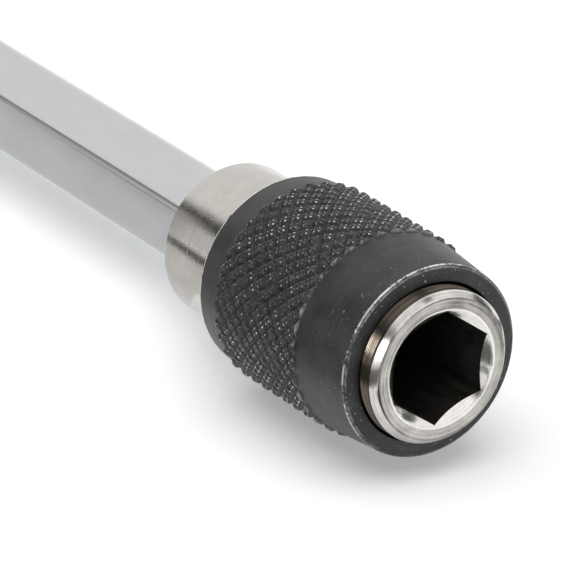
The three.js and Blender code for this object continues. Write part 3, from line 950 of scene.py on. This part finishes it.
def knurled_skin(work, wear_layer):
    """The knurl in a working mesh, trimmed square, and the vertices of its front and rear rings."""
    points, quads, wear = knurl_grid()
    made = [work.verts.new(point) for point in points]
    for vertex, value in zip(made, wear):
        vertex[wear_layer] = value
    for quad in quads:
        work.faces.new([made[index] for index in quad]).material_index = KNURLED
    for back, side in ((KNURL_FRONT, 1), (KNURL_REAR, -1)):
        bmesh.ops.bisect_plane(
            work,
            geom=work.verts[:] + work.edges[:] + work.faces[:],
            dist=CUT_TOLERANCE,
            plane_co=(NOSE_X - back * MM, 0, 0),
            plane_no=(side, 0, 0),
            clear_outer=True,
        )
    rings = []
    for x in (NOSE_X - KNURL_FRONT * MM, NOSE_X - KNURL_REAR * MM):
        rings.append([vertex for vertex in work.verts if abs(vertex.co.x - x) < PLANE_TOLERANCE])
    for vertex in rings[0] + rings[1]:
        proud = radius_of(vertex.co) - KNURL_ROOT
        vertex[wear_layer] = RUN_OUT_WEAR * max(proud / KNURL_DEPTH, 0)
    return rings


def edge_wear(vertex):
    """How far the black skin is worn at a vertex: near an edge, and more towards the top, where the extra
    bare steel paints highlight.
    """
    back = (NOSE_X - vertex.co.x) / MM
    radius = radius_of(vertex.co)
    # Heavier towards the top: real edge wear plus painted highlight
    side = WEAR_AND_HIGHLIGHT_MEAN + WEAR_AND_HIGHLIGHT_SWING * math.cos(angle_of(vertex) - WEAR_AND_HIGHLIGHT_SIDE)
    worn = 0.0
    for edge_back, edge_radius, rubbed in WORN_EDGES:
        apart = math.hypot(back - edge_back, radius - edge_radius)
        worn = max(worn, side * rubbed * (1 - apart / WEAR_WIDTH))
    return worn


def angle_of(vertex):
    return math.atan2(-vertex.co.y, vertex.co.z - AXIS_Z)


def turn_after(ring, index):
    """Angle of the vertex after an index, counted on past a full turn."""
    full_turns, rest = divmod(index + 1, len(ring))
    return angle_of(ring[rest]) + 2 * math.pi * full_turns


def zip_loops(work, first, second):
    """Faces between two rings of vertices with different counts."""
    first = sorted(first, key=angle_of)
    second = sorted(second, key=angle_of)
    i = j = 0
    while i < len(first) or j < len(second):
        a = first[i % len(first)]
        b = second[j % len(second)]
        if i < len(first) and (j >= len(second) or turn_after(first, i) <= turn_after(second, j)):
            work.faces.new((a, first[(i + 1) % len(first)], b))
            i += 1
        else:
            work.faces.new((a, second[(j + 1) % len(second)], b))
            j += 1


def release_sleeve(*finishes):
    """Black sleeve in one closed skin: bands, knurl and the stepped bore inside."""
    work = bmesh.new()
    wear_layer = work.verts.layers.float.new("wear")
    knurl_front, knurl_rear = knurled_skin(work, wear_layer)
    profile = eased([
        (KNURL_FRONT - KNURL_RUN_OUT, KNURL_ROOT),
        (SLEEVE_FRONT + FRONT_EDGE_LENGTH, BAND_FRONT_RADIUS),
        (SLEEVE_FRONT, BAND_FRONT_RADIUS - FRONT_EDGE_WIDTH),
        (SLEEVE_FRONT, LIP_BORE),
        (LIP_REAR, LIP_BORE),
        (LIP_REAR, RELIEF_BORE),
        (CONE_FRONT, RELIEF_BORE),
        (CONE_REAR, GUIDE_BORE),
        (LAND_FRONT, GUIDE_BORE),
        (LAND_FRONT, LAND_BORE),
        (LAND_REAR, LAND_BORE),
        (LAND_REAR, CHAMBER_RADIUS),
        (SLEEVE_REAR, CHAMBER_RADIUS),
        (SLEEVE_REAR, TAIL_RADIUS - TAIL_EDGE),
        (SLEEVE_REAR - TAIL_EDGE, TAIL_RADIUS),
        (KNURL_REAR + KNURL_RUN_OUT, KNURL_ROOT),
    ], SLEEVE_EASE, guard=WEAR_GUARD, closed=False)
    points, quads = loft(turned(profile), closed=False)
    made = [work.verts.new(point) for point in points]
    for vertex in made:
        vertex[wear_layer] = edge_wear(vertex)
    for quad in quads:
        work.faces.new([made[index] for index in quad]).material_index = SMOOTH
    zip_loops(work, knurl_front, made[:AROUND])
    zip_loops(work, knurl_rear, made[-AROUND:])
    mesh = mesh_of("fine_release_sleeve", work)
    return stand_in("release_sleeve", shade(mesh, SLEEVE_CREASE), *finishes)


def return_spring(finish):
    """Coil spring, built at its resting length; the real spring shortens as the sleeve is pulled back."""
    length = SPRING_REAR - SPRING_FRONT
    orbit = (SPIGOT_RADIUS + CHAMBER_RADIUS) / 2
    around = np.arange(WIRE_SIDES) * 2 * math.pi / WIRE_SIDES
    rings = []
    for share in np.linspace(0, 1, int(SPRING_COILS * SPRING_STEPS) + 1):
        middle = SPRING_FRONT + WIRE_RADIUS + (length - 2 * WIRE_RADIUS) * share
        turn = 2 * math.pi * SPRING_COILS * share
        radius = orbit + WIRE_RADIUS * np.cos(around)
        rings.append(place(middle + WIRE_RADIUS * np.sin(around), radius, turn))
    piece = lofted_piece("return_spring", rings, finish, closed=False)
    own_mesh(piece)
    return piece


def rear_collar(finish):
    """Ring behind the sleeve, with a bevelled rear edge."""
    profile = eased([
        (COLLAR_FRONT, COLLAR_BORE),
        (COLLAR_FRONT, COLLAR_RADIUS),
        (COLLAR_REAR - COLLAR_EDGE, COLLAR_RADIUS),
        (COLLAR_REAR, COLLAR_RADIUS - COLLAR_EDGE),
        (COLLAR_REAR, COLLAR_BORE),
    ], COLLAR_EASE, COLLAR_CORNER_STEPS)
    return lofted_piece("rear_collar", turned(profile), finish)


# Bar

def bar_section():
    """Across and up, in millimetres, around the hexagon of the bar with its edges rounded."""
    section = []
    to_centre = (HEX_FLAT - BAR_EDGE_ROUND) / math.cos(HEX_SIDE_ANGLE / 2)
    for side in range(6):
        corner = HEX_ROLL + side * HEX_SIDE_ANGLE
        for share in np.linspace(-0.5, 0.5, BAR_EDGE_POINTS):
            turn = corner + share * HEX_SIDE_ANGLE
            section.append((
                to_centre * math.sin(corner) + BAR_EDGE_ROUND * math.sin(turn),
                to_centre * math.cos(corner) + BAR_EDGE_ROUND * math.cos(turn),
            ))
    return np.array(section)


def wings(gap):
    """Flattened wings near the rear end of the bar, with a gap around them."""
    low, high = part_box("drive_shaft")
    middle = Vector((NOSE_X - (SHAFT_REAR - WING_FROM_END - WING_LENGTH / 2) * MM, 0, AXIS_Z))
    size = Vector((WING_LENGTH * MM, high.y - low.y, WING_THICKNESS * MM)) + Vector((2, 2, 2)) * gap * MM
    work = bmesh.new()
    bmesh.ops.create_cube(work, size=1, matrix=Matrix.Translation(middle) @ Matrix.Diagonal((*size, 1)))
    edges = work.edges[:]
    bmesh.ops.bevel(work, geom=edges, offset=WING_EDGE * MM, segments=3, profile=0.5, affect="EDGES")
    return mesh_of("wings", work)


def drive_shaft(finish):
    """Hex bar with softened edges and two flattened wings that the handle is moulded around."""
    section = bar_section()
    ends = ((SHAFT_FRONT, 1 - BAR_END_CHAMFER / HEX_FLAT), (SHAFT_FRONT + BAR_END_CHAMFER, 1))
    stations = [*ends, *[(SHAFT_FRONT + SHAFT_REAR - back, share) for back, share in reversed(ends)]]
    rings = []
    for back, share in stations:
        x = np.full(len(section), NOSE_X - back * MM)
        y = -section[:, 0] * share * MM
        z = AXIS_Z + section[:, 1] * share * MM
        rings.append(np.stack([x, y, z], axis=-1))
    piece = lofted_piece("drive_shaft", rings, finish, closed=False)
    carve(piece, wings(0), "UNION")
    shade(piece.data, BAR_CREASE)
    return piece


# Handle

def handle_radius(back):
    """Radius of the handle over its crests: smooth swells between a few places."""
    guard = HANDLE_FRONT + BOLSTER_RUN
    neck = guard + NECK_RUN
    belly = neck + SWELL_RUN
    stations = [
        (HANDLE_FRONT, BOLSTER_RADIUS),
        (guard, GUARD_RADIUS),
        (neck, NECK_RADIUS),
        (belly, BELLY_RADIUS),
        (CORE_REAR, TAIL_END_RADIUS),
    ]
    for (start, low), (end, high) in zip(stations, stations[1:]):
        if back <= end:
            return low + (high - low) * ease((back - start) / (end - start))
    return TAIL_END_RADIUS


def flute_share(back):
    """Depth of the flutes as a share of the radius. They fade out at both ends of the grip."""
    from_end = min(back - GRIP_FRONT, GRIP_REAR - back) + MOULD_GAP
    return FLUTE_SHARE * smooth(clamped(from_end / FLUTE_FADE))


def core_radius(back):
    """Radius of the core under the grip."""
    return handle_radius(back) * (1 - flute_share(back)) - GRIP_WALL


def bolster_radius(back):
    """Radius of the core in front of the grip, with its ring grooves."""
    near = min(abs(back - ring) for ring in RING_BACKS)
    return handle_radius(back) - RING_DEPTH * max(0.0, 1 - (near / RING_HALF_WIDTH) ** 2)


def handle_core(finish):
    """Hard core: the bolster, the bed under the grip, and the pocket for the cap."""
    bed_front = GRIP_FRONT - MOULD_GAP
    bed_rear = GRIP_REAR + MOULD_GAP
    bolster_backs = np.linspace(HANDLE_FRONT + BOLSTER_EDGE, bed_front, BOLSTER_RINGS)
    pocket_radius = CAP_SPIGOT_RADIUS + PRESS_GAP
    pocket_front = CORE_REAR - CAP_SPIGOT_LENGTH - MOULD_GAP
    bore = hexagon_radius(HEX_FLAT + MOULD_GAP)
    rings = turned([
        (SHAFT_REAR + MOULD_GAP, bore),
        (HANDLE_FRONT, bore),
        (HANDLE_FRONT, BOLSTER_RADIUS - BOLSTER_EDGE),
        *[(back, bolster_radius(back)) for back in bolster_backs],
        *[(back, core_radius(back)) for back in np.linspace(bed_front, bed_rear, BED_RINGS)],
        *[(back, handle_radius(back)) for back in np.linspace(bed_rear, CORE_REAR, TAIL_RINGS)],
        (CORE_REAR, pocket_radius),
        (pocket_front, pocket_radius),
        (pocket_front, POCKET_CENTRE),
    ])
    piece = lofted_piece("handle_core", rings, finish, closed=False)
    carve(piece, wings(MOULD_GAP), "DIFFERENCE")
    shade(piece.data)
    return piece


def rib_groove(back):
    """Depth share of the grooves between the ribs of the grip."""
    if not RIB_FRONT < back < RIB_REAR:
        return 0.0
    from_middle = abs((back - RIB_FRONT) / RIB_PITCH % 1 - 0.5) / (RIB_WIDTH / 2)
    return ease(max(0.0, 1 - from_middle))


def soft_grip(finish):
    """Fluted grip with rows of shallow ribs on the lands between the flutes."""
    turns = np.arange(GRIP_AROUND) * 2 * math.pi / GRIP_AROUND
    wave = 0.5 + 0.5 * np.cos(FLUTES * turns)
    land = smooth(np.clip((0.5 - wave) / LAND_FADE, 0, 1))
    backs = np.linspace(GRIP_FRONT, GRIP_REAR, GRIP_RINGS)
    rings = []
    for number, back in enumerate(backs):
        lip = GRIP_LIP if number in (0, len(backs) - 1) else 0.0
        fluted = handle_radius(back) * (1 - flute_share(back) * wave)
        rings.append(place(back, fluted - RIB_DEPTH * rib_groove(back) * land - lip, turns))
    for back in backs[::-GRIP_INNER_STRIDE]:
        rings.append(place(back, core_radius(back) + MOULD_GAP, turns))
    return lofted_piece("soft_grip", rings, finish)


def end_cap(finish):
    """Plug in the rear of the core, with a rounded edge and a shallow dish."""
    rim = CAP_REAR - CAP_LENGTH
    dish_floor = CAP_REAR - DISH_DEPTH
    edge_width = TAIL_END_RADIUS - CAP_FLAT_RADIUS
    edge_turns = np.linspace(0, math.pi / 2, CAP_EDGE_RINGS)
    rings = turned([
        (CAP_FRONT, CAP_CENTRE),
        (CAP_FRONT, CAP_SPIGOT_RADIUS),
        (rim, CAP_SPIGOT_RADIUS),
        *[(rim + CAP_LENGTH * math.sin(t), CAP_FLAT_RADIUS + edge_width * math.cos(t)) for t in edge_turns],
        (CAP_REAR, DISH_RADIUS),
        (dish_floor, DISH_FLOOR_RADIUS),
        (dish_floor, CAP_CENTRE),
    ])
    return lofted_piece("end_cap", rings, finish, closed=False)


# Studio

def studio_height(rise):
    """Height in metres of a place so many millimetres over the lowest line of the knurl."""
    return AXIS_Z - (KNURL_CREST - rise) * MM


def floor_height(x):
    """The floor lies just under the knurl, climbs a little to the bar and falls gently to the handle."""
    low = studio_height(-FLOOR_GAP)
    high = studio_height(BAR_FLOOR_RISE)
    climb = clamped((RAMP_FRONT - x) / (RAMP_FRONT - RAMP_REAR))
    fall = clamped((STEP_FRONT - x) / (STEP_FRONT - STEP_REAR))
    return (low + (high - low) * ease(climb)) * (1 - ease(fall))


def studio_floor():
    """Plain pale floor."""
    step = np.linspace(STEP_REAR, STEP_FRONT, STEP_STATIONS)
    ramp = np.linspace(RAMP_REAR, RAMP_FRONT, RAMP_STATIONS)
    stations = [-FLOOR_HALF, *step, *ramp, FLOOR_HALF]
    points = [(x, y, floor_height(x)) for x in stations for y in (-FLOOR_HALF, FLOOR_HALF)]
    faces = [(2 * i, 2 * i + 2, 2 * i + 3, 2 * i + 1) for i in range(len(stations) - 1)]
    mesh = new_mesh("studio_floor", points, faces)
    mesh.polygons.foreach_set("use_smooth", [True] * len(faces))
    mesh.materials.append(matt_glow("studio_floor_finish", FLOOR_COLOUR, 0.9, FLOOR_GLOW, FLOOR_LIGHT)[0])
    floor = in_scene("studio_floor", mesh)


def studio_card(name, centre, across, along, level):
    """A dark or pale card that shows only in reflections: two half-sides from its centre, and its light.
    It is clear to the light that the floor receives, so that the floor keeps the tool's shadow."""
    corners = [centre + across * i + along * j for i, j in ((-1, -1), (1, -1), (1, 1), (-1, 1))]
    mesh = new_mesh(name, corners, [(0, 1, 2, 3)])
    material, tree, shader = matt_glow(name + "_finish", CARD_COLOUR, 1.0, WHITE, level)
    path = add(tree, "ShaderNodeLightPath")
    from_matt = calc(tree, "MINIMUM", path.outputs["Diffuse Depth"], 1.0)
    clear = add(tree, "ShaderNodeBsdfTransparent").outputs[0]
    surface = chosen(tree, from_matt, shader.outputs[0], clear)
    feed(tree, tree.nodes["Material Output"].inputs["Surface"], surface)
    mesh.materials.append(material)
    card = in_scene(name, mesh)
    card.visible_camera = False
    card.visible_diffuse = False
    card.visible_shadow = False


def studio_cards():
    """What the bright metal mirrors: strips over the floor beside the chuck and the bar, and the flags."""
    for name, rise, (x_low, x_high), (y_low, y_high), level in FLOOR_CARDS:
        middle = Vector(((x_low + x_high) / 2, (y_low + y_high) / 2, studio_height(rise)))
        across = Vector((0, (y_high - y_low) / 2, 0))
        along = Vector(((x_high - x_low) / 2, 0, 0))
        studio_card(name, middle, across, along, level)
    for flag in FLAGS:
        studio_card(*flag)


def studio_lamp():
    """Soft box in front and to the left, low over the floor."""
    lamp = bpy.data.lights.new("front_box", "AREA")
    lamp.shape = "RECTANGLE"
    lamp.size = LAMP_WIDTH
    lamp.size_y = LAMP_HEIGHT
    lamp.energy = LAMP_ENERGY
    holder = in_scene("front_box", lamp)
    holder.location = NOSE_POINT + LAMP_TOWARDS * LAMP_DISTANCE
    holder.rotation_mode = "QUATERNION"
    holder.rotation_quaternion = (-LAMP_TOWARDS).to_track_quat("-Z", "Y")
    holder.visible_camera = False
    holder.visible_diffuse = False


def studio_sky_light():
    """Broad light from above that makes the soft shadow under the tool."""
    light = bpy.data.lights.new("sky_light", "SUN")
    light.energy = SKY_ENERGY
    light.angle = SKY_SPREAD
    holder = in_scene("sky_light", light)
    holder.location = (0, 0, 1)
    holder.rotation_euler = (SKY_TILT, 0, 0)
    holder.visible_glossy = False


def surround(tree):
    """Grey that changes around the tool's axis: white above and behind, a dark gap, paler in front."""
    parts = parts_of(tree, add(tree, "ShaderNodeTexCoord").outputs["Generated"])
    turn = calc(tree, "ARCTAN2", calc(tree, "MULTIPLY", parts["Y"], -1.0), parts["Z"])
    ramp = add(tree, "ShaderNodeValToRGB")
    feed(tree, ramp.inputs[0], remap(tree, turn, -math.pi, math.pi))
    elements = ramp.color_ramp.elements
    while len(elements) < len(SURROUND):
        elements.new(0.5)
    for element, (degrees, level) in zip(elements, SURROUND):
        element.position = (degrees + 180) / 360
        element.color = (level, level, level, 1)
    return ramp.outputs["Color"]


def studio_world():
    """The surround in reflections, weaker light on matt faces, and plain white behind the tool."""
    world = bpy.data.worlds.new("studio")
    world.use_nodes = True
    bpy.context.scene.world = world
    tree = world.node_tree
    grey = surround(tree)
    mirrored = tree.nodes["Background"]
    feed(tree, mirrored.inputs["Color"], grey)
    weaker = add(tree, "ShaderNodeBackground")
    weaker.inputs["Strength"].default_value = MATT_LIGHT
    feed(tree, weaker.inputs["Color"], grey)
    plain = add(tree, "ShaderNodeBackground")
    plain.inputs["Color"].default_value = WHITE
    path = add(tree, "ShaderNodeLightPath").outputs
    on_tool = chosen(tree, path["Is Diffuse Ray"], mirrored.outputs[0], weaker.outputs[0])
    surface = chosen(tree, path["Is Camera Ray"], on_tool, plain.outputs[0])
    feed(tree, tree.nodes["World Output"].inputs["Surface"], surface)


def studio_camera():
    """Camera at the angle of the photograph."""
    camera = bpy.data.cameras.new("camera")
    camera.lens = LENS
    camera.clip_start = CLIP_NEAR
    camera.clip_end = CLIP_FAR
    holder = in_scene("camera", camera)
    up = VIEW_RIGHT.cross(VIEW_FORWARD)
    turn = Matrix((VIEW_RIGHT, up, -VIEW_FORWARD)).transposed().to_4x4()
    holder.matrix_world = Matrix.Translation(NOSE_POINT + CAMERA_FROM_NOSE) @ turn
    bpy.context.scene.camera = holder


# Pieces and their finishes

def chuck_pieces():
    face = turned_steel("turned_steel_finish", STEEL_BRIGHT, STEEL_DULL, depth=0.007 * MM, fine=8000)
    # Nose side: brown tint, with painted shade of the gap under the sleeve
    side = turned_steel(
        "browned_and_gap_shade_steel_finish", BROWNED_GAP_SHADE_BRIGHT, BROWNED_GAP_SHADE_DULL, pitted=0.5, metallic=0.9, depth=0.012 * MM
    )
    cone = turned_steel("countersink_finish", CONE_BRIGHT, CONE_DULL, marked=0.5)
    edge = turned_steel("rubbed_edge_finish", EDGE_BRIGHT, EDGE_DULL)
    chuck_body(face, socket_steel(), side, edge, cone)
    bit_magnet(plain_metal("magnet_finish", MAGNET_BRIGHT, MAGNET_DULL, 0.12, 0.3, 1500))
    lock_ball(plain_metal("ball_finish", BALL_BRIGHT, BALL_DULL, 0.05, 0.12, 1200))
    knurled = black_oxide("knurled_oxide_finish", 0.03 * MM, 0.8)
    release_sleeve(black_oxide("black_oxide_finish", 0.009 * MM, 0.0), knurled)
    return_spring(plain_metal("spring_finish", SPRING_BRIGHT, SPRING_DULL, 0.25, 0.42, 2500))
    rear_collar(turned_steel(
        "collar_finish", COLLAR_BRIGHT, COLLAR_DULL, marked=0.05, pitted=1.0, depth=0.007 * MM, grain=5600
    ))


def handle_pieces():
    drive_shaft(bar_nickel())
    plastic = hard_plastic()
    handle_core(plastic)
    soft_grip(soft_rubber())
    end_cap(plastic)


def studio():
    studio_floor()
    studio_cards()
    studio_lamp()
    studio_sky_light()
    studio_world()
    studio_camera()
    bpy.context.scene.view_settings.view_transform = "Standard"


chuck_pieces()
handle_pieces()
studio()
